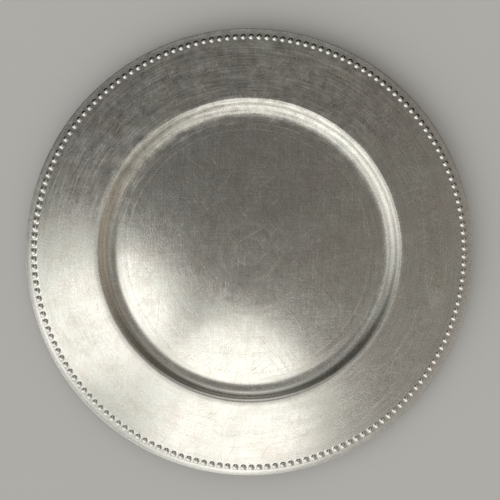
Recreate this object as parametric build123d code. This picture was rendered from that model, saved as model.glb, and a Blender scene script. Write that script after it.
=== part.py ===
from build123d import *

import os
from math import radians, sqrt, tan

from build123d.topology import SkipClean

# A round silver salver with a beaded border, in millimetres.
# +Z is up. The origin is on the table, under the middle of the foot ring.
# The sheet body, the three lengths of bead wire, the edge wire and the foot ring are turned about the Z axis
# and meet face to face, as they do when soldered.

# Driving dimensions
OUTER_RADIUS = 165.0
SHEET = 1.2  # thickness of the spun sheet
FOOT_HEIGHT = 4.0
FLOOR_TOP = FOOT_HEIGHT + SHEET

# The sheet's top face goes out from the middle as four straight stretches joined by arcs:
# floor, a gentle shelf at the foot of the wall, the wall, and the rim.
FLOOR_RADIUS = 100.4
SHELF_RADIUS = 107.2
WALL_RADIUS = 110.6
SHELF_SLOPE = 9.0  # degrees above the floor
WALL_SLOPE = 58.0
RIM_SLOPE = 1.5
FLOOR_BEND = 35.0  # radii of the arcs between the stretches
SHELF_BEND = 8.0
RIM_BEND = 4.6

# The border: a seat sunk in the top of the rim holds the bead wire and the edge wire's lip
SEAT_RADIUS = 156.6  # inner side of the seat
SEAT_DEPTH = 0.5
BEAD_CIRCLE = 159.0  # radius of the circle through the beads' middles
BEAD_COUNT = 171
BEAD_RADIUS = 2.05  # at the rim's surface
BEAD_HEIGHT = 1.15
BEAD_ROOT = 0.25  # how far a bead goes down into its web
BEAD_LENGTHS = 3  # lengths of wire that the border is made of

LIP_RADIUS = 161.4  # where the bead wire ends and the edge wire starts
SHEET_RADIUS = 163.0
EDGE_HEIGHT = 2.1  # thickness of the edge wire outside the sheet
EDGE_ROUND = 0.9
EDGE_CORNER = 0.3

FOOT_RADIUS = 91.2  # middle of the foot ring's wall
FOOT_WIDTH = 3.2
FOOT_ROUND = 0.7

RING_SECTORS = 57


def sheet_outline():
    """The corners of the sheet's top face, as (radius, height) before the arcs are put in."""
    stretches = [
        (FLOOR_RADIUS, 0.0),
        (SHELF_RADIUS, SHELF_SLOPE),
        (WALL_RADIUS, WALL_SLOPE),
        (SHEET_RADIUS, RIM_SLOPE),
    ]
    corners = [(0.0, FLOOR_TOP)]
    for end_radius, slope in stretches:
        radius, height = corners[-1]
        corners.append((end_radius, height + (end_radius - radius) * tan(radians(slope))))
    return corners


def rim_point(radius, above=0.0):
    """A point over the rim's sloping top face, at a radius from the Z axis."""
    start_radius, start_height = sheet_outline()[-2]
    return radius, start_height + (radius - start_radius) * tan(radians(RIM_SLOPE)) + above


def strip(inner_radius, outer_radius, thickness, above=0.0):
    """The outline of a strip that lies in the rim, with its top at a height above the rim's face."""
    return Polyline(
        rim_point(inner_radius, above),
        rim_point(outer_radius, above),
        rim_point(outer_radius, above - thickness),
        rim_point(inner_radius, above - thickness),
        close=True,
    )


def turned(outline, degrees=360.0):
    """A solid made by turning a closed outline of (radius, height) about the Z axis."""
    return revolve(Plane.XZ * make_face(outline), axis=Axis.Z, revolution_arc=degrees)


def ring(outline):
    """A ring turned about the Z axis. It keeps its faces in short equal sectors, so that it meshes evenly."""
    with SkipClean():
        first = turned(outline, 360.0 / RING_SECTORS)
        others = [Rot(0, 0, i * 360.0 / RING_SECTORS) * first for i in range(1, RING_SECTORS)]
        return first.fuse(*others)


def plate_body():
    """The spun sheet, trimmed upright at its edge, with a seat for the border cut in the top of its rim."""
    with BuildSketch(Plane.XZ) as sheet:
        with BuildLine():
            top = FilletPolyline(sheet_outline(), radius=[FLOOR_BEND, SHELF_BEND, RIM_BEND])
            offset(top, amount=SHEET, side=Side.RIGHT)
        make_face()
    seat = strip(SEAT_RADIUS, SHEET_RADIUS + SHEET, SEAT_DEPTH + SHEET, above=SHEET)
    outside = strip(SHEET_RADIUS, SHEET_RADIUS + SHEET, 4 * SHEET, above=SHEET)
    return revolve(sheet.sketch, axis=Axis.Z) - turned(seat) - turned(outside)


def bead():
    """One bead: a cap of a sphere that stands on the XY plane, with its root below it."""
    sphere_radius = (BEAD_RADIUS**2 + BEAD_HEIGHT**2) / (2 * BEAD_HEIGHT)
    centre = BEAD_HEIGHT - sphere_radius
    root_radius = sqrt(sphere_radius**2 - (BEAD_ROOT + centre) ** 2)
    with BuildSketch(Plane.XZ) as half:
        with BuildLine():
            Polyline((root_radius, -BEAD_ROOT), (0, -BEAD_ROOT), (0, BEAD_HEIGHT))
            RadiusArc((0, BEAD_HEIGHT), (root_radius, -BEAD_ROOT), sphere_radius)
        make_face()
    # The turn's seam faces along the border, because a seam across it can spoil the join to the web.
    return Rot(0, 0, 90) * revolve(half.sketch, axis=Axis.Z)


def bead_wire():
    """One length of bead wire: a flat web let into the rim, with its beads standing on it."""
    pitch = 360.0 / BEAD_COUNT
    count = BEAD_COUNT // BEAD_LENGTHS
    web = turned(strip(SEAT_RADIUS, LIP_RADIUS, SEAT_DEPTH), count * pitch)
    radius, height = rim_point(BEAD_CIRCLE)
    upright_to_rim = Rot(0, -RIM_SLOPE, 0)
    first = Pos(radius, 0, height) * upright_to_rim * bead()
    beads = [Rot(0, 0, (i + 0.5) * pitch) * first for i in range(count)]
    return web.fuse(*beads)


def edge_wire():
    """The edge wire: a lip that lies in the seat outside the beads, and a rounded part round the sheet's edge."""
    corners = [
        (rim_point(LIP_RADIUS), 0.0),
        (rim_point(OUTER_RADIUS), EDGE_ROUND),
        (rim_point(OUTER_RADIUS, -EDGE_HEIGHT), EDGE_ROUND),
        (rim_point(SHEET_RADIUS, -EDGE_HEIGHT), EDGE_CORNER),
        (rim_point(SHEET_RADIUS, -SEAT_DEPTH), 0.0),
        (rim_point(LIP_RADIUS, -SEAT_DEPTH), 0.0),
    ]
    outline = FilletPolyline(
        [point for point, _ in corners], radius=[bend for _, bend in corners], close=True
    )
    return ring(outline)


def foot_ring():
    """The foot ring: a plain wire under the floor, with its lower corners rounded."""
    inner = FOOT_RADIUS - FOOT_WIDTH / 2
    outer = FOOT_RADIUS + FOOT_WIDTH / 2
    outline = FilletPolyline(
        [(inner, FOOT_HEIGHT), (outer, FOOT_HEIGHT), (outer, 0), (inner, 0)],
        radius=[0, 0, FOOT_ROUND, FOOT_ROUND],
        close=True,
    )
    return ring(outline)


def parts():
    """Every piece of the salver, by name."""
    pieces = {
        "plate_body": plate_body(),
        "edge_wire": edge_wire(),
        "foot_ring": foot_ring(),
    }
    length = bead_wire()
    for i in range(BEAD_LENGTHS):
        pieces[f"bead_wire_{i + 1}"] = Rot(0, 0, i * 360.0 / BEAD_LENGTHS) * length
    return pieces


os.makedirs("parts", exist_ok=True)
for name, piece in parts().items():
    export_step(piece, f"parts/{name}.step")
    print(name, "volume", round(piece.volume), "mm3")
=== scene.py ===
"""The looks of a round silver salver with a beaded border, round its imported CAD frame. Metres, +Z up."""
from math import acos, atan2, ceil, cos, pi, radians, sin, sqrt, tan, tau
from types import SimpleNamespace

import bmesh
import bpy
import numpy as np
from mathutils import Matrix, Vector


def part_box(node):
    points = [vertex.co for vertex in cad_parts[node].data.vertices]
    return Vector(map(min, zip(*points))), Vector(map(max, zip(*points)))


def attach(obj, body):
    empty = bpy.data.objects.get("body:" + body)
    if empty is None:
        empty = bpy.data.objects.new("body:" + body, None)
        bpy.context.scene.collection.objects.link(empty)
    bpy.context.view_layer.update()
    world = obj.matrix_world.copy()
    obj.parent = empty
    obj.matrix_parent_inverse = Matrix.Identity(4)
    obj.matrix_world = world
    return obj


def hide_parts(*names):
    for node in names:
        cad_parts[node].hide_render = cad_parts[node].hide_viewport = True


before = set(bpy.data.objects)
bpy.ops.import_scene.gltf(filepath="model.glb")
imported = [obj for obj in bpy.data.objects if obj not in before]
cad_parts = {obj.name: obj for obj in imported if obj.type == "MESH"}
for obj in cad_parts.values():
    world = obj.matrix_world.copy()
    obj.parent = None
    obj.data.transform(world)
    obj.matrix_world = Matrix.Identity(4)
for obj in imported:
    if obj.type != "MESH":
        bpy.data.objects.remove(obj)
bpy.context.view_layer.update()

MM = 0.001

# Sizes that the frame gives
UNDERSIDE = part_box("plate_body")[0].z
SHEET_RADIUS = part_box("plate_body")[1].x
OUTER_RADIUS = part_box("edge_wire")[1].x
FOOT_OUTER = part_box("foot_ring")[1].x
BEAD_WIRES = sorted(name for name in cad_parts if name.startswith("bead_wire"))

# The sheet: stretches of its top face from the middle outwards, and the radii of the arcs between them
SHEET = 1.2 * MM
FLOOR_TOP = UNDERSIDE + SHEET
FLOOR_RADIUS = 100.4 * MM
SHELF_RADIUS = 107.2 * MM
WALL_RADIUS = 110.6 * MM
SHELF_SLOPE = radians(9.0)
WALL_SLOPE = radians(58.0)
RIM_SLOPE = radians(1.5)
BENDS = (35.0 * MM, 8.0 * MM, 4.6 * MM)

# The border
SEAT_RADIUS = 156.6 * MM
SEAT_DEPTH = 0.5 * MM
BEAD_CIRCLE = 159.0 * MM
BEAD_COUNT = 171
BEAD_RADIUS = 2.05 * MM
BEAD_HEIGHT = 1.15 * MM
BEAD_SOLDER = 0.16 * MM
LIP_RADIUS = 161.4 * MM
EDGE_HEIGHT = 2.1 * MM
EDGE_ROUND = 0.5 * MM
EDGE_CORNER = 0.3 * MM
# Nicks in the edge, as (azimuth in degrees, depth in millimetres)
NICKS = ((8.8, 0.35), (7.0, 0.25), (-77.0, 0.3), (36.0, 0.15), (-48.0, 0.12), (152.0, 0.14), (-141.0, 0.1))
NICK_WIDTH = 0.9 * MM

# The foot
FOOT_WIDTH = 3.2 * MM
FOOT_ROUND = 0.7 * MM
FOOT_SOLDER = 0.5 * MM

# Marks in the floor: a crease over the foot ring, a line outside it, and a ring and a dot left in the middle
CREASE_RADIUS = 91.2 * MM
LINE_RADIUS = 95.0 * MM
MIDDLE_RING = 10.3 * MM
# The well was pressed a little off the rim's middle, as (radius, shift along X, shift along Y)
WELL_SHIFTS = (
    (40 * MM, 0.0, 0.0),
    (85 * MM, -0.6 * MM, 0.7 * MM),
    (97 * MM, -0.5 * MM, 0.4 * MM),
    (105 * MM, -0.5 * MM, 0.4 * MM),
    (111 * MM, 0.1 * MM, 1.4 * MM),
    (150 * MM, 0.0, 0.0),
)
CREASE_SHIFT = (-0.6 * MM, 0.6 * MM)

# The silver: colours of what lies on it, and the height of its finest marks
CLOUDY = (0.96, 0.985, 0.97)  # shares of the clean tint
PATINA = (0.63, 0.57, 0.49, 1)
SPECKLE = (0.95, 0.94, 0.92, 1)
SCRATCHED = (0.93, 0.915, 0.88, 1)
DULL = (0.45, 0.42, 0.37, 1)
DRIED_DROP = (0.86, 0.84, 0.88, 1)
DROP_PLACE = (138.5, -34.5, 0.0)  # millimetres
BUMP_HEIGHT = 0.0020 * MM

# The camera stands over the middle
CAMERA_PLACE = (0.5 * MM, 1.4 * MM, 663 * MM)
CAMERA_LENS = 63.4  # millimetres, on a sensor 36 mm wide

# A dark card round the far side: its radius and height, and the azimuths of its ends in degrees
CARD_RADIUS = 200 * MM
CARD_HEIGHT = 95 * MM
CARD_ENDS = (-5.0, 180.0)
CARD_FADE = 45.0  # degrees over which it fades at each end

# Colours of the light
WHITE = (1.0, 0.995, 0.965)
WARM = (1.1, 0.99, 0.86)

FLOOR_SIZE = 8.0
FLOOR_COLOUR = (0.8, 0.795, 0.78, 1)

# Two round lights nearly overhead: degrees off vertical, azimuth, angle that the radius covers, radiance
LIGHT_DISTANCE = 1.5
LIGHTS = {"left_light": (13.8, 201.6, 5.8, 1.38), "near_light": (13.2, 264.2, 6.8, 1.36)}

# Glows in the surround: degrees off vertical, azimuth, width in degrees, strength, colour
BASE_GLOW = 0.014
GLOWS = (
    (66, 205, 34, 1.22, WHITE),
    (61, 265, 35, 1.18, WHITE),
    (12, 232, 13, 0.08, WHITE),
    (92, 0, 42, 0.45, WARM),
    (26, 350, 18, 0.27, WARM),
    (40, 90, 19, 0.9, WHITE),
    (74, 90, 20, 0.38, WHITE),
)


# ---------------------------------------------------------------- outlines, as (radius, height)

def sheet_corners():
    """Corners of the sheet's top face before its arcs are put in."""
    stretches = (
        (FLOOR_RADIUS, 0.0),
        (SHELF_RADIUS, SHELF_SLOPE),
        (WALL_RADIUS, WALL_SLOPE),
        (SEAT_RADIUS, RIM_SLOPE),
    )
    corners = [(0.0, FLOOR_TOP)]
    for end, slope in stretches:
        radius, height = corners[-1]
        corners.append((end, height + (end - radius) * tan(slope)))
    return corners


def rim_height(radius):
    """Height of the rim's top face at a radius."""
    start_radius, start_height = sheet_corners()[-2]
    return start_height + (radius - start_radius) * tan(RIM_SLOPE)


def arc(centre, radius, start, end, steps):
    """Points along an arc between two angles."""
    angles = np.linspace(start, end, steps + 1)
    return [(centre[0] + radius * cos(a), centre[1] + radius * sin(a)) for a in angles]


def rounded(corners, bends, step=radians(1.5)):
    """A line through the corners, with an arc of the given radius at each corner between its ends."""
    points = [corners[0]]
    for before, corner, after, bend in zip(corners, corners[1:], corners[2:], bends):
        way_in = atan2(corner[1] - before[1], corner[0] - before[0])
        way_out = atan2(after[1] - corner[1], after[0] - corner[0])
        turn = (way_out - way_in + pi) % tau - pi
        if bend == 0:
            points.append(corner)
            continue
        side = 1 if turn > 0 else -1
        back = bend * tan(abs(turn) / 2)
        start = (corner[0] - back * cos(way_in), corner[1] - back * sin(way_in))
        centre = (start[0] - side * bend * sin(way_in), start[1] + side * bend * cos(way_in))
        first = way_in - side * pi / 2
        points += arc(centre, bend, first, first + turn, max(2, ceil(abs(turn) / step)))
    return np.array(points + [corners[-1]])


def divided(points, step_at):
    """The same line with its long stretches divided. step_at gives the longest step at a radius."""
    out = [points[0]]
    for a, b in zip(points, points[1:]):
        steps = max(1, ceil(np.linalg.norm(b - a) / step_at((a[0] + b[0]) / 2)))
        out += [a + (b - a) * (i + 1) / steps for i in range(steps)]
    return np.array(out)


# ---------------------------------------------------------------- meshes

def mesh_object(name, vertices, faces, sharp=radians(35)):
    """A mesh object with smooth faces, and sharp edges where they turn by more than an angle."""
    mesh = bpy.data.meshes.new(name)
    mesh.from_pydata([tuple(v) for v in vertices], [], faces)
    bm = bmesh.new()
    bm.from_mesh(mesh)
    bmesh.ops.remove_doubles(bm, verts=bm.verts, dist=1e-7)
    bmesh.ops.recalc_face_normals(bm, faces=bm.faces)
    for face in bm.faces:
        face.smooth = True
    for edge in bm.edges:
        edge.smooth = edge.calc_face_angle(0.0) < sharp
    bm.to_mesh(mesh)
    bm.free()
    piece = bpy.data.objects.new(name, mesh)
    bpy.context.scene.collection.objects.link(piece)
    return piece


def grid_faces(index, around=True):
    """Faces between the rows of an array of vertex numbers, which may close on itself along its rows."""
    rows, columns = index.shape
    faces = []
    for upper, lower in zip(index, index[1:]):
        for k in range(columns if around else columns - 1):
            m = (k + 1) % columns
            faces.append((upper[k], lower[k], lower[m], upper[m]))
    return faces


def lathe(name, outline, segments, relief=None):
    """A ring or disc turned about the Z axis. relief(row, radius, angle) is what is added to its heights."""
    closed = outline[0][0] > 0
    rows = np.vstack([outline, outline[:1]]) if closed else np.asarray(outline)
    angles = np.arange(segments) * tau / segments
    row, angle = np.meshgrid(np.arange(len(rows)), angles, indexing="ij")
    radius = rows[row, 0]
    height = rows[row, 1]
    if relief:
        height = height + relief(row, radius, angle)
    grid = np.stack([radius * np.cos(angle), radius * np.sin(angle), height], axis=-1)
    index = np.arange(row.size).reshape(row.shape)
    faces = grid_faces(index[:-1] if closed else index[1:-1])
    if closed:
        faces += [
            (index[-2, k], index[0, k], index[0, (k + 1) % segments], index[-2, (k + 1) % segments])
            for k in range(segments)
        ]
        return mesh_object(name, grid[:-1].reshape(-1, 3), faces)
    first, last = index[0, 0], index[-1, 0]
    grid[0] = grid[0].mean(axis=0)
    grid[-1] = grid[-1].mean(axis=0)
    for k in range(segments):
        m = (k + 1) % segments
        faces.append((first, index[1, k], index[1, m]))
        faces.append((last, index[-2, m], index[-2, k]))
    keep = np.concatenate([[first], index[1:-1].ravel(), [last]])
    renumber = np.zeros(row.size, dtype=int)
    renumber[keep] = np.arange(len(keep))
    return mesh_object(name, grid.reshape(-1, 3)[keep], [tuple(renumber[list(f)]) for f in faces])


# ---------------------------------------------------------------- the sheet

def waves(radius, angle, seed, count, shortest, longest):
    """Gentle waves across the sheet, from sines of random length and direction. Root mean square 1."""
    rng = np.random.default_rng(seed)
    x = radius * np.cos(angle)
    y = radius * np.sin(angle)
    total = np.zeros_like(radius)
    for _ in range(count):
        length = shortest * (longest / shortest) ** rng.random()
        way, phase = rng.uniform(0, tau, 2)
        total += np.sin(tau / length * (x * cos(way) + y * sin(way)) + phase)
    return total / sqrt(count / 2)


def spun_rings(radius, angle, seed, count, shortest, longest):
    """Faint rings from spinning, which drift a little in and out on their way round. Root mean square 1."""
    rng = np.random.default_rng(seed)
    total = np.zeros_like(radius)
    for _ in range(count):
        length = shortest * (longest / shortest) ** rng.random()
        phase = rng.uniform(0, tau)
        drift = rng.uniform(0.3, 1.0) * np.sin(rng.integers(1, 4) * angle + phase)
        total += np.sin(tau * radius / length + phase + drift)
    return total / sqrt(count / 2)


def bump_at(radius, middle, width):
    """A smooth bump of height 1 across a radius."""
    return np.exp(-(((radius - middle) / width) ** 2))


def sheet_step(radius):
    """How far apart the rows of the sheet's top may be: close together at the small marks."""
    marks = (CREASE_RADIUS, LINE_RADIUS, MIDDLE_RING)
    at_mark = min(abs(radius - mark) for mark in marks) < 1.5 * MM
    return 0.3 * MM if at_mark or radius < 2 * MM else 1.3 * MM


def shift_well(body):
    """Moves the well a little off the rim's middle."""
    radii, along_x, along_y = zip(*WELL_SHIFTS)
    for vertex in body.data.vertices:
        radius = vertex.co.xy.length
        vertex.co.x += float(np.interp(radius, radii, along_x))
        vertex.co.y += float(np.interp(radius, radii, along_y))


def plate_body():
    """The spun sheet, with its upright edge, its seat for the border, and the unevenness of handwork."""
    corners = sheet_corners()
    top = divided(rounded(corners, BENDS), sheet_step)
    along = np.gradient(top, axis=0)
    along /= np.linalg.norm(along, axis=1)[:, None]
    under = (top + SHEET * np.stack([along[:, 1], -along[:, 0]], axis=1))[::-1]
    under[-1, 0] = 0.0
    under = under[(under[:, 0] < SEAT_RADIUS - 1.5 * MM) | (under[:, 0] == 0.0)]
    edge = [
        (SEAT_RADIUS, rim_height(SEAT_RADIUS) - SEAT_DEPTH),
        (SHEET_RADIUS, rim_height(SHEET_RADIUS) - SEAT_DEPTH),
        (SHEET_RADIUS, rim_height(SHEET_RADIUS) - SHEET / cos(RIM_SLOPE)),
    ]
    top_rows = len(top)

    def relief(row, radius, angle):
        fade = np.clip((SEAT_RADIUS - radius) / (5 * MM), 0, 1)
        uneven = 0.017 * MM * waves(radius, angle, seed=3, count=16, shortest=45 * MM, longest=120 * MM)
        rings = 0.0009 * MM * spun_rings(radius, angle, seed=5, count=9, shortest=3.5 * MM, longest=9 * MM)
        marks = (
            -0.025 * MM * bump_at(radius, CREASE_RADIUS, 0.55 * MM)
            + 0.012 * MM * bump_at(radius, LINE_RADIUS, 0.6 * MM)
            - 0.020 * MM * bump_at(radius, MIDDLE_RING, 0.6 * MM)
            + 0.025 * MM * bump_at(radius, 0.0, 1.0 * MM)
        )
        return fade * uneven + np.where(row < top_rows, fade * rings + marks, 0.0)

    body = lathe("salver_body", np.vstack([top, edge, under]), 400, relief)
    shift_well(body)
    return body


# ---------------------------------------------------------------- the border

def bead_outline(rings=10, solder_rings=4):
    """Half the outline of a bead, from top to foot: a cap of a sphere, then a small fillet of solder."""
    sphere = (BEAD_RADIUS**2 + BEAD_HEIGHT**2) / (2 * BEAD_HEIGHT)
    centre = BEAD_HEIGHT - sphere
    join = acos((BEAD_SOLDER - centre) / (sphere + BEAD_SOLDER))
    cap = arc((0.0, centre), sphere, pi / 2, pi / 2 - join, rings)
    foot = (sphere + BEAD_SOLDER) * sin(join)
    solder = arc((foot, BEAD_SOLDER), BEAD_SOLDER, -pi / 2 - join, -pi / 2, solder_rings)
    return np.array(cap + solder[1:])


def bead_shapes(count, seed):
    """Small differences between beads, as (width, height, radial shift, shift along the wire) of each."""
    rng = np.random.default_rng(seed)
    width = rng.normal(1.0, 0.012, count).clip(0.97, 1.02)
    height = rng.normal(0.97, 0.015, count).clip(0.92, 1.0)
    worn = rng.random(count) < 0.04
    height[worn] *= rng.uniform(0.78, 0.9, worn.sum())
    shift = rng.normal(0.0, 0.02 * MM, (2, count)).clip(-0.05 * MM, 0.05 * MM)
    return np.stack([width, height, shift[0], shift[1]], axis=1)


def bead_wire(name, number, side=8):
    """One length of bead wire: a flat web let into the rim, with its beads rising from it."""
    per_wire = BEAD_COUNT // len(BEAD_WIRES)
    pitch = tau / BEAD_COUNT
    start = number * per_wire * pitch
    outline = bead_outline()
    # A bead's place in the web is a patch whose border has this many points along each side
    along = np.linspace(-1, 1, side + 1)[:-1]
    border_x = np.concatenate([np.ones(side), -along, -np.ones(side), along])
    border_y = np.concatenate([along, np.ones(side), -along, -np.ones(side)])
    border_radius = np.where(border_x > 0, LIP_RADIUS - BEAD_CIRCLE, BEAD_CIRCLE - SEAT_RADIUS) * border_x
    border_radius += BEAD_CIRCLE
    ring_way = np.arctan2(border_y * pitch / 2 * BEAD_CIRCLE, border_radius - BEAD_CIRCLE)
    vertices = []
    faces = []
    for i, (width, height, out, on) in enumerate(bead_shapes(per_wire, seed=20 + number)):
        middle = start + (i + 0.5) * pitch
        outward = Vector((cos(middle), sin(middle), 0))
        onward = Vector((-sin(middle), cos(middle), 0))
        slope_out = outward * cos(RIM_SLOPE) + Vector((0, 0, sin(RIM_SLOPE)))
        upright = Vector((0, 0, cos(RIM_SLOPE))) - outward * sin(RIM_SLOPE)
        centre = outward * BEAD_CIRCLE + Vector((0, 0, rim_height(BEAD_CIRCLE)))
        centre += slope_out * out + onward * on
        first = len(vertices)
        vertices.append(centre + upright * outline[0, 1] * height)
        for ring_radius, ring_height in outline[1:]:
            for way in ring_way:
                flat = slope_out * cos(way) + onward * sin(way)
                vertices.append(centre + flat * ring_radius * width + upright * ring_height * height)
        angles = middle + border_y * pitch / 2
        for drop in (0.0, SEAT_DEPTH):
            for radius, angle in zip(border_radius, angles):
                vertices.append(Vector((radius * cos(angle), radius * sin(angle), rim_height(radius) - drop)))
        rings = np.arange(first + 1, len(vertices)).reshape(-1, 4 * side)
        faces += grid_faces(rings[:-1])
        faces += [(first, rings[0, k], rings[0, (k + 1) % (4 * side)]) for k in range(4 * side)]
        upper, lower = rings[-2], rings[-1]
        # The web's long sides and underside, which go on from patch to patch, and the wire's two ends
        for k in list(range(side)) + list(range(2 * side, 3 * side)):
            faces.append((upper[k], lower[k], lower[k + 1], upper[k + 1]))
        for k in range(side):
            faces.append((lower[k], lower[3 * side - k], lower[3 * side - k - 1], lower[k + 1]))
        if i == per_wire - 1:
            faces.append((*upper[side : 2 * side + 1], lower[2 * side], lower[side]))
        if i == 0:
            faces.append((*upper[3 * side :], upper[0], lower[0], lower[3 * side]))
    return mesh_object(name, vertices, faces)


def edge_wire():
    """The edge wire: a lip in the seat outside the beads, and a rounded band round the edge."""
    corners = [
        (LIP_RADIUS, rim_height(LIP_RADIUS)),
        (OUTER_RADIUS, rim_height(OUTER_RADIUS)),
        (OUTER_RADIUS, rim_height(OUTER_RADIUS) - EDGE_HEIGHT),
        (SHEET_RADIUS, rim_height(SHEET_RADIUS) - EDGE_HEIGHT),
        (SHEET_RADIUS, rim_height(SHEET_RADIUS) - SEAT_DEPTH),
        (LIP_RADIUS, rim_height(LIP_RADIUS) - SEAT_DEPTH),
    ]
    outline = rounded(corners, [EDGE_ROUND, EDGE_ROUND, EDGE_CORNER, 0], step=radians(9))
    return lathe("salver_edge", outline, 720)


def dent_edge(edge):
    """Presses a few small nicks into the outside of the edge wire."""
    for vertex in edge.data.vertices:
        x, y, _ = vertex.co
        radius = sqrt(x * x + y * y)
        outside = max(0.0, (radius - (OUTER_RADIUS - EDGE_ROUND)) / EDGE_ROUND)
        for degrees, depth in NICKS:
            away = radius * ((atan2(y, x) - radians(degrees) + pi) % tau - pi)
            press = depth * MM * outside * np.exp(-((away / NICK_WIDTH) ** 2))
            vertex.co.x -= press * x / radius
            vertex.co.y -= press * y / radius


def foot_ring():
    """The foot ring: a plain wire with rounded lower corners, and fillets of solder at the sheet."""
    inner = FOOT_OUTER - FOOT_WIDTH
    solder_in = arc((inner - FOOT_SOLDER, UNDERSIDE - FOOT_SOLDER), FOOT_SOLDER, pi / 2, 0, 4)
    solder_out = arc((FOOT_OUTER + FOOT_SOLDER, UNDERSIDE - FOOT_SOLDER), FOOT_SOLDER, pi, pi / 2, 4)
    lower = rounded(
        [(inner, FOOT_ROUND * 2), (inner, 0.0), (FOOT_OUTER, 0.0), (FOOT_OUTER, FOOT_ROUND * 2)],
        [FOOT_ROUND, FOOT_ROUND],
        step=radians(12),
    )
    # The top goes a little into the sheet, so that the sheet's unevenness opens no gap
    top_out = (FOOT_OUTER + FOOT_SOLDER, UNDERSIDE + SHEET / 3)
    top_in = (inner - FOOT_SOLDER, UNDERSIDE + SHEET / 3)
    outline = np.vstack([solder_in, lower, solder_out, [top_out, top_in]])
    return lathe("salver_foot", outline, 480)


# ---------------------------------------------------------------- materials

class Nodes:
    """A node tree with short ways to add nodes."""

    def __init__(self, tree):
        self.tree = tree

    def node(self, kind, inputs=None, output=0, **settings):
        """Adds a node with values or links at its inputs, and returns one of its outputs, if it has any."""
        node = self.tree.nodes.new("ShaderNode" + kind)
        for setting, value in settings.items():
            setattr(node, setting, value)
        for socket, value in (inputs or {}).items():
            if isinstance(value, bpy.types.NodeSocket):
                self.tree.links.new(value, node.inputs[socket])
            else:
                node.inputs[socket].default_value = value
        return node.outputs[output] if node.outputs else None

    def maths(self, operation, *values, clamp=False):
        """A number worked out from others."""
        return self.node("Math", dict(enumerate(values)), operation=operation, use_clamp=clamp)

    def add(self, first, *others):
        """The sum of several numbers."""
        for other in others:
            first = self.maths("ADD", first, other)
        return first

    def times(self, first, *others):
        """The product of several numbers."""
        for other in others:
            first = self.maths("MULTIPLY", first, other)
        return first

    def vector(self, operation, *values, output=0, scale=None):
        """A vector worked out from others."""
        inputs = dict(enumerate(values))
        if scale is not None:
            inputs["Scale"] = scale
        return self.node("VectorMath", inputs, output, operation=operation)

    def join(self, x, y, z):
        """A vector from three numbers."""
        return self.node("CombineXYZ", {0: x, 1: y, 2: z})

    def ramp(self, value, low, high, start=0.0, end=1.0):
        """A smooth change from start to end as the value goes from low to high."""
        inputs = {"Value": value, "From Min": low, "From Max": high, "To Min": start, "To Max": end}
        return self.node("MapRange", inputs, interpolation_type="SMOOTHSTEP")

    def noise(self, vector, size, detail=2.0, roughness=0.5, offset=0.0):
        """Noise from 0 to 1 whose features are about size across."""
        scaled = self.vector("SCALE", vector, scale=1 / size)
        moved = self.vector("ADD", scaled, (offset, 1.7 * offset, -offset))
        inputs = {"Vector": moved, "Scale": 1.0, "Detail": detail, "Roughness": roughness}
        return self.node("TexNoise", inputs)

    def turned(self, vector, degrees):
        """The vector turned about the Z axis."""
        return self.node(
            "VectorRotate", {"Vector": vector, "Angle": radians(degrees)}, rotation_type="Z_AXIS"
        )

    def stretched(self, vector, across, along):
        """The vector with its X divided by one length and its Y by another, for streaks along Y."""
        return self.vector("MULTIPLY", vector, (1 / across, 1 / along, 1 / along))

    def mix(self, share, first, second):
        """A colour between two others."""
        inputs = {0: share, 6: first, 7: second}
        return self.node("Mix", inputs, output=2, data_type="RGBA")


class Shader(Nodes):
    """A material's node tree, with the place on the salver in millimetres."""

    def __init__(self, tree):
        super().__init__(tree)
        self.place = self.vector("SCALE", self.node("TexCoord", output="Object"), scale=1 / MM)
        self.flat = self.vector("MULTIPLY", self.place, (1.0, 1.0, 0.0))
        self.radius = self.vector("LENGTH", self.flat, output="Value")
        self.way = self.vector("NORMALIZE", self.flat)
        # The radius from the middle of the well, for marks in and round it
        moved = self.vector("SUBTRACT", self.flat, (CREASE_SHIFT[0] / MM, CREASE_SHIFT[1] / MM, 0.0))
        self.well_radius = self.vector("LENGTH", moved, output="Value")

    def toward(self, direction):
        """How far a place lies to one side of the axis: the cosine of its angle from a direction."""
        return self.vector("DOT_PRODUCT", self.way, Vector(direction), output="Value")


def scratches(shader, size, length, width, share, turn, spread=1.0, offset=0.0):
    """Random scratches, at most one in each cell of a pattern. spread is how much their ways differ."""
    bend = shader.node("TexNoise", {"Vector": shader.place, "Scale": 0.7 / size, "Detail": 0.0}, 1)
    spot = shader.vector("ADD", shader.place, shader.vector("SCALE", bend, scale=size * 0.5))
    spot = shader.vector("ADD", shader.turned(spot, turn), (offset, -offset, 0.0))
    cells = {"Vector": shader.vector("SCALE", spot, scale=1 / size), "Scale": 1.0, "Randomness": 1.0}
    voronoi = shader.node("TexVoronoi", cells, 0, voronoi_dimensions="2D").node
    random = shader.node("SeparateColor", {0: voronoi.outputs["Color"]}).node.outputs
    away = shader.vector("SUBTRACT", cells["Vector"], voronoi.outputs["Position"])
    way = shader.times(shader.add(random[0], -0.5), tau * spread)
    turned = shader.node("VectorRotate", {"Vector": away, "Angle": way}, rotation_type="Z_AXIS")
    x, y, _ = shader.node("SeparateXYZ", {0: turned}).node.outputs
    line = shader.ramp(shader.maths("ABSOLUTE", x), width / size, 0.0)
    end = shader.ramp(shader.maths("ABSOLUTE", y), length / size / 2, length / size / 4)
    chosen = shader.maths("LESS_THAN", random[1], share)
    return shader.times(line, end, chosen, random[2])


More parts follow.
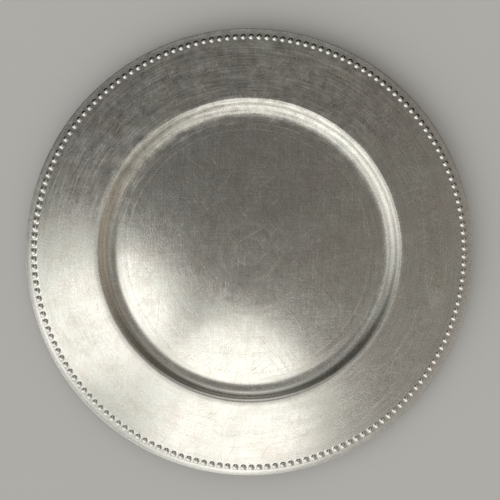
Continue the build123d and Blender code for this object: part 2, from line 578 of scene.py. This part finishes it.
def hairlines(shader, turn, across, along, patch, rarity, offset):
    """Patches of fine parallel lines, as polishing leaves them, that run at an angle."""
    turned = shader.turned(shader.place, turn)
    lines = shader.noise(shader.stretched(turned, across, along), 1.0, detail=1.0, offset=offset)
    patches = shader.noise(shader.place, patch, detail=1.0, offset=offset + 3.1)
    return shader.times(shader.ramp(lines, 0.55, 0.75), shader.ramp(patches, rarity, rarity + 0.18))


def polar(shader, across, turns):
    """A vector for marks that run round the axis: its noise is long round the circle and short across it."""
    around = shader.vector("SCALE", shader.way, scale=turns)
    return shader.vector("ADD", around, shader.join(0.0, 0.0, shader.maths("DIVIDE", shader.radius, across)))


def band(shader, radius, inner, outer, soft):
    """1 between two radii in millimetres and 0 elsewhere, with soft ends."""
    return shader.times(
        shader.ramp(radius, inner - soft, inner + soft), shader.ramp(radius, outer + soft, outer - soft)
    )


def principled(name):
    """A new metal material's shader helper and its Principled node."""
    material = bpy.data.materials.new(name)
    material.use_nodes = True
    node = material.node_tree.nodes["Principled BSDF"]
    node.inputs["Metallic"].default_value = 1.0
    return material, Shader(material.node_tree), node


def smudge(shader):
    """A small dried drop mark near the rim's edge, on the right."""
    away = shader.vector("SUBTRACT", shader.flat, DROP_PLACE)
    wobble = shader.times(shader.add(shader.noise(shader.place, 5.0, offset=12.0), -0.5), 5.0)
    distance = shader.add(shader.vector("LENGTH", away, output="Value"), wobble)
    spot = shader.times(shader.ramp(distance, 6.5, 1.5), 0.55)
    rim = shader.times(band(shader, distance, 4.8, 6.0, 0.5), 0.45)
    return shader.add(spot, rim)


def silver_marks(s, marks, spun, stain):
    """The marks on worn silver, each as a number from 0 to 1 or so at every place, and masks of the near and
    far sides. The far one sets where painted light and shade go into the fine pattern.
    """
    middle = s.ramp(s.well_radius, LINE_RADIUS / MM + 0.3, LINE_RADIUS / MM - 0.3)
    outside = s.add(s.times(middle, -0.9), 1.0)
    mottle = s.noise(s.place, 7.0, detail=4.0, roughness=0.62, offset=7.0)
    blotch = s.noise(s.place, 16.0, detail=3.0, roughness=0.6, offset=11.0)
    streaks = s.noise(polar(s, 1.1, 5.0), 1.0, detail=3.0, roughness=0.65)
    patina = s.ramp(s.add(s.times(blotch, 0.6), s.times(mottle, 0.4)), 0.42, 0.66)
    rings = s.add(
        s.times(band(s, s.well_radius, 90.9, 91.5, 0.35), 0.9),
        s.times(band(s, s.radius, 9.9, 10.7, 0.45), 0.4),
        s.times(band(s, s.radius, 20.5, 22.5, 1.2), 0.25),
        s.times(s.ramp(s.radius, 1.4, 0.2), 0.7),
    )
    short = s.add(
        scratches(s, 4.0, 3.2, 0.14, 0.5, 0),
        scratches(s, 7.0, 7.0, 0.16, 0.45, 37),
        scratches(s, 9.0, 11.0, 0.18, 0.6, 25, spread=0.12, offset=40.0),
    )
    long = s.add(
        scratches(s, 19.0, 24.0, 0.2, 0.5, 15),
        scratches(s, 27.0, 40.0, 0.24, 0.5, 62, spread=0.2),
    )
    lines = s.add(
        hairlines(s, 3, 0.4, 26, 44, 0.42, 1.0),
        hairlines(s, 52, 0.4, 18, 34, 0.5, 5.0),
        hairlines(s, -34, 0.45, 22, 45, 0.48, 9.0),
    )
    lines = s.times(lines, s.add(s.times(middle, 0.7), 0.3))
    # The far side, away from the lights, where the fine pattern is painted stronger and its short scratches
    # painted lighter: painted light and shade
    far = s.ramp(s.toward((-0.2, 0.98, 0.0)), 0.2, 0.9)
    return SimpleNamespace(
        middle=middle,
        outside=outside,
        shelf=band(s, s.well_radius, 103, 114, 2.0),
        rings=rings,
        cloud=s.noise(s.place, 38, detail=3.0, offset=2.0),
        mottle=mottle,
        grain=s.noise(s.place, 0.75, detail=2.0, roughness=0.7, offset=1.0),
        streaks=streaks,
        broad_streaks=s.noise(polar(s, 6.0, 2.2), 1.0, detail=2.0, offset=4.0),
        speckle=s.noise(polar(s, 0.7, 60.0), 1.0, detail=2.0, roughness=0.7, offset=8.0),
        short=short,
        scratch=s.maths("MINIMUM", s.times(s.add(short, long), marks), 1.0),
        line=s.maths("MINIMUM", s.times(lines, marks), 1.0),
        turning=s.times(s.ramp(streaks, 0.42, 0.75), s.add(s.times(middle, -0.75 * spun), spun)),
        patina=s.times(patina, stain),
        near=s.toward((-0.4, -0.92, 0.0)),
        far=s.times(outside, far),
    )


def texture_with_painted_light(s, m):
    """The fine light and dark pattern, about 0: grain, a weave of lines in the floor, streaks outside it. Its
    streaks and mottle are painted stronger on the far, shaded side, and its short scratches are painted
    lighter there as painted glints of caught light.
    """
    weave = s.add(
        s.noise(s.stretched(s.turned(s.place, 3), 0.6, 14.0), 1.0, detail=1.0, offset=21.0),
        s.noise(s.stretched(s.turned(s.place, -36), 0.6, 12.0), 1.0, detail=1.0, offset=25.0),
        s.noise(s.stretched(s.turned(s.place, 90), 0.6, 9.0), 1.0, detail=1.0, offset=29.0),
    )
    return s.add(
        s.times(s.add(m.grain, -0.5), 1.8),
        s.times(s.add(weave, -1.5), s.add(s.times(m.middle, 0.5), 0.1), 0.8),
        # Streaks and mottle painted stronger on the far, shaded side: painted shade and light
        s.times(s.add(m.streaks, -0.5), m.outside, s.add(s.times(m.far, 1.2), 0.4)),
        s.times(s.add(m.mottle, -0.5), s.add(s.times(m.far, 1.4), 0.35)),
        # Painted glints: the short scratches made lighter on the far, shaded side
        s.times(m.short, m.far, 0.6),
    )


def silver_colour(s, m, tint, spun, dull, texture_and_light):
    """The metal's colour, with its patina, speckle, scratches, fine pattern and dull streaks. The fine
    pattern is painted weaker on the near, lit side, as painted light and shade.
    """
    cloudy = tuple(part * share for part, share in zip(tint, CLOUDY))
    colour = s.mix(s.ramp(m.cloud, 0.4, 0.6), (*tint, 1), (*cloudy, 1))
    colour = s.mix(s.times(m.patina, 0.5), colour, PATINA)
    colour = s.mix(s.times(s.ramp(m.speckle, 0.6, 0.8), spun, 0.35), colour, SPECKLE)
    scratched = s.maths("MINIMUM", s.add(m.scratch, m.rings), 1.0)
    colour = s.mix(s.times(scratched, 0.4), colour, SCRATCHED)
    # Painted light and shade: the fine pattern is weaker on the near, lit side and stronger on the far,
    # shaded side
    fine = s.times(texture_with_painted_light(s, m), s.ramp(m.near, 0.2, 0.95, texture_and_light, 0.6 * texture_and_light))
    colour = s.vector("SCALE", colour, scale=s.add(fine, 1.0))
    return s.mix(s.times(s.ramp(m.broad_streaks, 0.4, 0.7), dull), colour, DULL)


def silver_roughness(s, m, roughness, spun, worn):
    """How rough the metal is at every place."""
    rough = s.add(
        roughness,
        s.times(m.middle, -0.03),
        s.times(m.shelf, 0.12),
        s.times(m.rings, 0.08),
        s.times(s.ramp(m.cloud, 0.3, 0.7), 0.03),
        s.times(s.add(m.mottle, -0.5), 0.06),
        s.times(s.add(m.grain, -0.5), 0.10),
        s.times(m.scratch, 0.2),
        s.times(m.line, 0.12),
        s.times(m.turning, 0.07),
        s.times(s.ramp(m.speckle, 0.55, 0.8), 0.1 * spun),
    )
    return s.add(rough, s.times(s.ramp(m.near, 0.2, 0.95), worn))


def silver(name, tint, roughness, marks, spun, stain=0.0, dull=0.0, texture_and_light=0.0, worn=0.0):
    """Worn satin silver, with how strong its marks are. worn is how much rougher it is on the near side."""
    material, s, node = principled(name)
    m = silver_marks(s, marks, spun, stain)
    colour = silver_colour(s, m, tint, spun, dull, texture_and_light)
    rough = silver_roughness(s, m, roughness, spun, worn)
    height = s.add(
        s.times(m.grain, 0.8),
        s.times(m.scratch, -0.6),
        s.times(m.line, -0.35),
        s.times(m.turning, 0.2),
    )
    if stain:
        mark = smudge(s)
        colour = s.mix(s.times(mark, 0.5), colour, DRIED_DROP)
        rough = s.add(rough, s.times(mark, 0.1))
    bump = s.node("Bump", {"Strength": 1.0, "Distance": BUMP_HEIGHT, "Height": height})
    s.tree.links.new(colour, node.inputs["Base Color"])
    s.tree.links.new(rough, node.inputs["Roughness"])
    s.tree.links.new(bump, node.inputs["Normal"])
    return material


def floor_material():
    """A plain pale studio floor."""
    material = bpy.data.materials.new("studio_floor")
    material.use_nodes = True
    node = material.node_tree.nodes["Principled BSDF"]
    node.inputs["Base Color"].default_value = FLOOR_COLOUR
    node.inputs["Roughness"].default_value = 0.85
    node.inputs["Specular IOR Level"].default_value = 0.2
    return material


# ---------------------------------------------------------------- the studio

def direction(off_vertical, azimuth):
    """A unit vector from an angle off vertical and an azimuth from +X towards +Y, in degrees."""
    tilt, way = radians(off_vertical), radians(azimuth)
    return Vector((sin(tilt) * cos(way), sin(tilt) * sin(way), cos(tilt)))


def soft_light(name, off_vertical, azimuth, spread, radiance):
    """A round light that faces the plate, whose radius covers an angle of spread degrees."""
    data = bpy.data.lights.new(name, "AREA")
    data.shape = "DISK"
    radius = LIGHT_DISTANCE * tan(radians(spread))
    data.size = 2 * radius
    data.energy = radiance * pi * pi * radius**2
    data.color = WHITE
    light = bpy.data.objects.new(name, data)
    bpy.context.scene.collection.objects.link(light)
    way = direction(off_vertical, azimuth)
    light.location = way * LIGHT_DISTANCE
    light.rotation_euler = way.to_track_quat("Z", "Y").to_euler()
    light.visible_camera = False


def surround():
    """The world: a dim warm room with wide soft banks of light near and far, and a fill on the right."""
    world = bpy.data.worlds.new("surround")
    bpy.context.scene.world = world
    world.use_nodes = True
    nodes = Nodes(world.node_tree)
    way = nodes.node("TexCoord", output="Generated")
    light = tuple(BASE_GLOW * part for part in WARM)
    for off_vertical, azimuth, width, strength, colour in GLOWS:
        cosine = nodes.vector("DOT_PRODUCT", way, direction(off_vertical, azimuth), output="Value")
        angle = nodes.maths("ARCCOSINE", cosine)
        falloff = nodes.maths("POWER", nodes.maths("DIVIDE", angle, radians(width)), 2.0)
        glow = nodes.times(nodes.maths("EXPONENT", nodes.times(falloff, -1.0)), strength)
        light = nodes.vector("ADD", light, nodes.vector("SCALE", colour, scale=glow))
    nodes.tree.links.new(light, world.node_tree.nodes["Background"].inputs["Color"])


def dark_card():
    """A low dark card round the far side, faded out upwards and at its ends. It shows only in the metal."""
    steps = 48
    angles = [radians(way) for way in np.linspace(*CARD_ENDS, steps + 1)]
    vertices = [
        (CARD_RADIUS * cos(way), CARD_RADIUS * sin(way), height)
        for way in angles
        for height in (0.0, CARD_HEIGHT)
    ]
    faces = [(2 * k, 2 * k + 2, 2 * k + 3, 2 * k + 1) for k in range(steps)]
    card = mesh_object("dark_card", vertices, faces)
    material = bpy.data.materials.new("dark_card")
    material.use_nodes = True
    material.node_tree.nodes.clear()
    nodes = Nodes(material.node_tree)
    place = nodes.node("TexCoord", output="Object")
    x, y, z = nodes.node("SeparateXYZ", {0: place}).node.outputs
    azimuth = nodes.times(nodes.maths("ARCTAN2", y, x), 180 / pi)
    opacity = nodes.times(
        nodes.ramp(z, CARD_HEIGHT, 0.45 * CARD_HEIGHT),
        nodes.ramp(azimuth, CARD_ENDS[0], CARD_ENDS[0] + CARD_FADE),
        nodes.ramp(azimuth, CARD_ENDS[1] - 1, CARD_ENDS[1] - 1 - CARD_FADE),
    )
    black = nodes.node("BsdfDiffuse", {"Color": (0.01, 0.01, 0.01, 1)})
    clear = nodes.node("BsdfTransparent")
    surface = nodes.node("MixShader", {0: opacity, 1: clear, 2: black})
    nodes.node("OutputMaterial", {"Surface": surface})
    card.data.materials.append(material)
    card.visible_camera = False
    card.visible_diffuse = False
    card.visible_shadow = False


def studio():
    """A pale floor that the metal doesn't reflect, a dark card, a soft surround and two soft lights."""
    bpy.ops.mesh.primitive_plane_add(size=FLOOR_SIZE, location=(0, 0, 0))
    floor = bpy.context.object
    floor.name = "studio_floor"
    floor.data.materials.append(floor_material())
    floor.visible_glossy = False
    dark_card()
    surround()
    for name, light in LIGHTS.items():
        soft_light(name, *light)


def camera():
    """The camera, which looks straight down."""
    data = bpy.data.cameras.new("camera")
    data.lens = CAMERA_LENS
    data.sensor_width = 36.0
    data.clip_start = 0.01
    eye = bpy.data.objects.new("camera", data)
    bpy.context.scene.collection.objects.link(eye)
    eye.location = CAMERA_PLACE
    bpy.context.scene.camera = eye


# ---------------------------------------------------------------- everything together

def fix(piece, material, slot, *nodes):
    """Gives a piece its material and puts it in the frame in place of its CAD nodes."""
    piece.data.materials.append(material)
    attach(piece, "root")
    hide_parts(*nodes)


def build():
    """Makes every piece."""
    body = silver("body_silver", (0.80, 0.78, 0.73), 0.15, 0.7, 0.7, stain=0.8, dull=0.1, texture_and_light=0.8)
    border = silver("border_silver", (0.82, 0.80, 0.76), 0.1, 0.2, 0.0, worn=0.1)
    rim_edge = silver("edge_silver", (0.88, 0.86, 0.815), 0.17, 0.6, 0.4, texture_and_light=0.6)
    foot = silver("foot_silver", (0.78, 0.76, 0.71), 0.3, 1.0, 1.0, dull=0.15)
    fix(plate_body(), body, "body_silver", "plate_body")
    for i, node in enumerate(BEAD_WIRES):
        fix(bead_wire(f"salver_beads_{i + 1}", i), border, "border_silver", node)
    edge = edge_wire()
    dent_edge(edge)
    fix(edge, rim_edge, "edge_silver", "edge_wire")
    fix(foot_ring(), foot, "foot_silver", "foot_ring")


build()
studio()
camera()
bpy.context.scene.view_settings.view_transform = "Standard"
